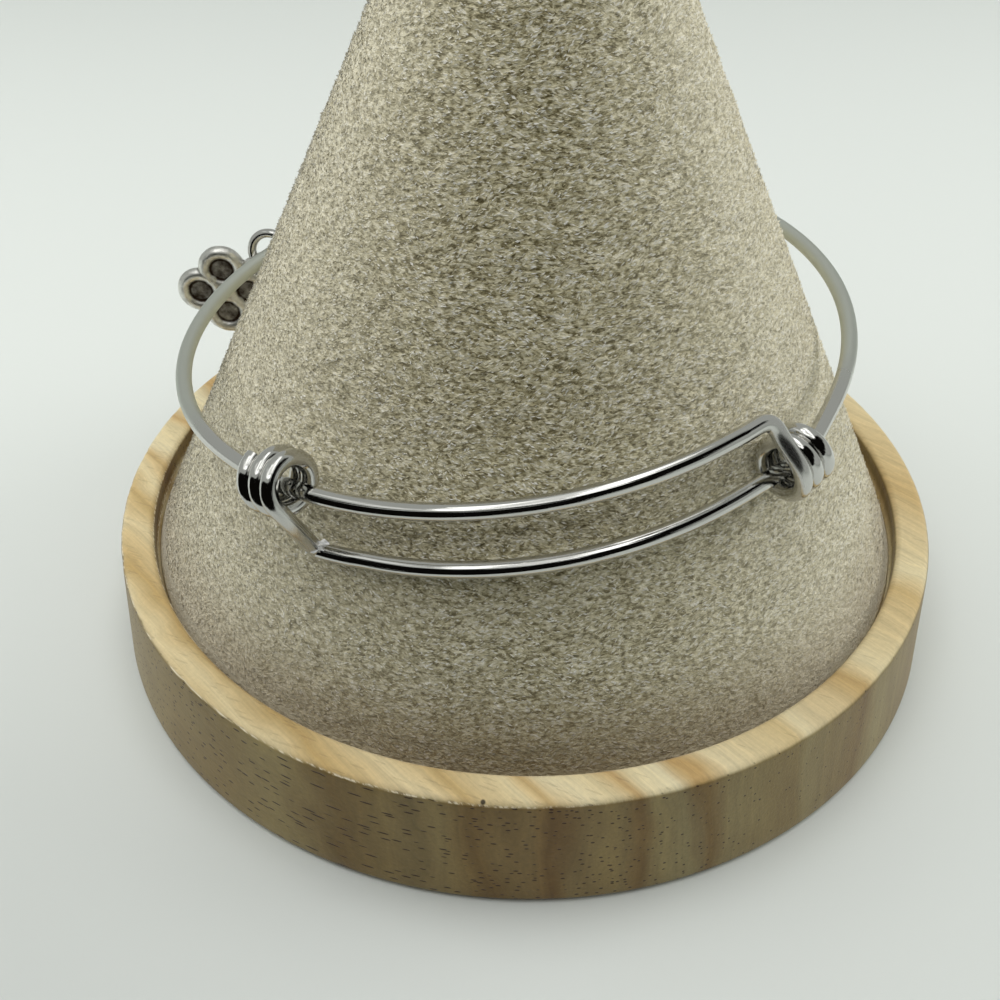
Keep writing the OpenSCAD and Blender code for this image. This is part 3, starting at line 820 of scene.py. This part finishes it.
stemPlace = stemPlace @ Matrix.Translation((charm["petalReach"] + stemLength / 2, 0, 0))
bmesh.ops.create_cone(shells, cap_ends=True, segments=32, radius1=charm["stem"] / 2,
                      radius2=charm["stem"] / 2, depth=stemLength,
                      matrix=stemPlace @ Matrix.Rotation(math.radians(90), 4, "Y"))
eyeTurn = Vector(eyeAxis).to_track_quat("Z", "Y").to_matrix().to_4x4()
addTorus(shells, Matrix.Translation(eyeMiddle) @ eyeTurn, charm["eyeRadius"], charm["eyeWire"], 48, 16)
bmesh.ops.scale(shells, vec=(mm, mm, mm), verts=shells.verts)
cast = bpy.data.meshes.new("charmShells")
shells.to_mesh(cast)
shells.free()
flower = newObject("flowerCharm", cast)
fuse = flower.modifiers.new("fuse", "REMESH")
fuse.mode, fuse.voxel_size = "VOXEL", charm["grain"] * mm
even = flower.modifiers.new("even", "SMOOTH")
even.iterations, even.factor = charm["soften"], 0.5
fused = bpy.data.meshes.new_from_object(flower.evaluated_get(bpy.context.evaluated_depsgraph_get()))
flower.modifiers.clear()
flower.data = fused
fused.name = "flowerCharm"
fused.shade_smooth()

# how far each point lies in a hollow, from the mean of its neighbours; evened out over a few rounds
count = len(fused.vertices)
places, normals = placesAndNormals(fused)
edges = np.empty(len(fused.edges) * 2, dtype=np.int32)
fused.edges.foreach_get("vertices", edges)
one, other = edges.reshape(-1, 2).T


def neighbourMean(values):
    total = np.zeros_like(values)
    np.add.at(total, one, values[other])
    np.add.at(total, other, values[one])
    degree = np.bincount(edges, minlength=count).astype(float)
    return total / (degree[:, None] if values.ndim > 1 else degree)


broad = places.copy()
for _ in range(charm["evened"]):
    broad = neighbourMean(broad)
hollow = np.sum((broad - places) * normals, axis=1)
for _ in range(charm["blurred"]):
    hollow = neighbourMean(hollow)
# the blacking fills the whole floor of each petal
facePlace = (places - charmMiddle)[:, (0, 2)]
for i in range(charm["petals"]):
    a = 2 * math.pi * i / charm["petals"]
    reach = np.hypot(*(facePlace - charm["petalReach"] * np.array((math.cos(a), math.sin(a)))).T)
    black = np.clip((charm["blackTo"] - reach) / (charm["blackTo"] - charm["blackFull"]), 0, 1)
    hollow = np.maximum(hollow, charm["blackDepth"] * black)
fused.attributes.new("hollow", "FLOAT", "POINT").data.foreach_set("value", hollow.astype(np.float32))
# cast skin: faint pits and waves
for place, normal in zip(places, normals):
    wave = noise.noise(place * 0.9) + 0.5 * noise.noise(place * 2.6)
    place -= normal * charm["pitted"] * max(0.0, wave)
fused.vertices.foreach_set("co", (places * mm).ravel())
fused.update()

# Cast white metal plated in silver tone and blackened: bright where it is rubbed, brown-black in the
# hollows, with a soft waxy gloss.
charmFinish, tree = newMaterial("blackenedCastSilverTone")
place = addNode(tree, "TexCoord")
depth = addNode(tree, "Attribute", attribute_name="hollow")
cloud = addNode(tree, "TexNoise",
                {"Vector": place.outputs["Object"], "Scale": 900.0, "Detail": 4.0, "Roughness": 0.6})
edgeOfDark = addNode(tree, "Math", {0: cloud.outputs["Fac"], 1: 0.1, 2: depth.outputs["Fac"]},
                     operation="MULTIPLY_ADD")
patina = addNode(tree, "MapRange", {"Value": edgeOfDark, "From Min": 0.02, "From Max": 0.13},
                 **eased)
charmColour = addNode(tree, "MixRGB",
                      {"Fac": patina, "Color1": linear("#e9e8e2"), "Color2": linear("#2e2219")})
charmRough = addNode(tree, "MapRange", {"Value": patina, "To Min": 0.3, "To Max": 0.6})
skin = addNode(tree, "Bump", {"Strength": 0.35, "Distance": 0.00004, "Height": cloud.outputs["Fac"]})
shader = addNode(tree, "BsdfPrincipled",
                 {"Base Color": charmColour, "Metallic": 1.0, "Roughness": charmRough, "Normal": skin})
addNode(tree, "OutputMaterial", {"Surface": shader})
fused.materials.clear()
fused.materials.append(charmFinish)
finishPiece(flower, "cast_silver_tone", "charm")
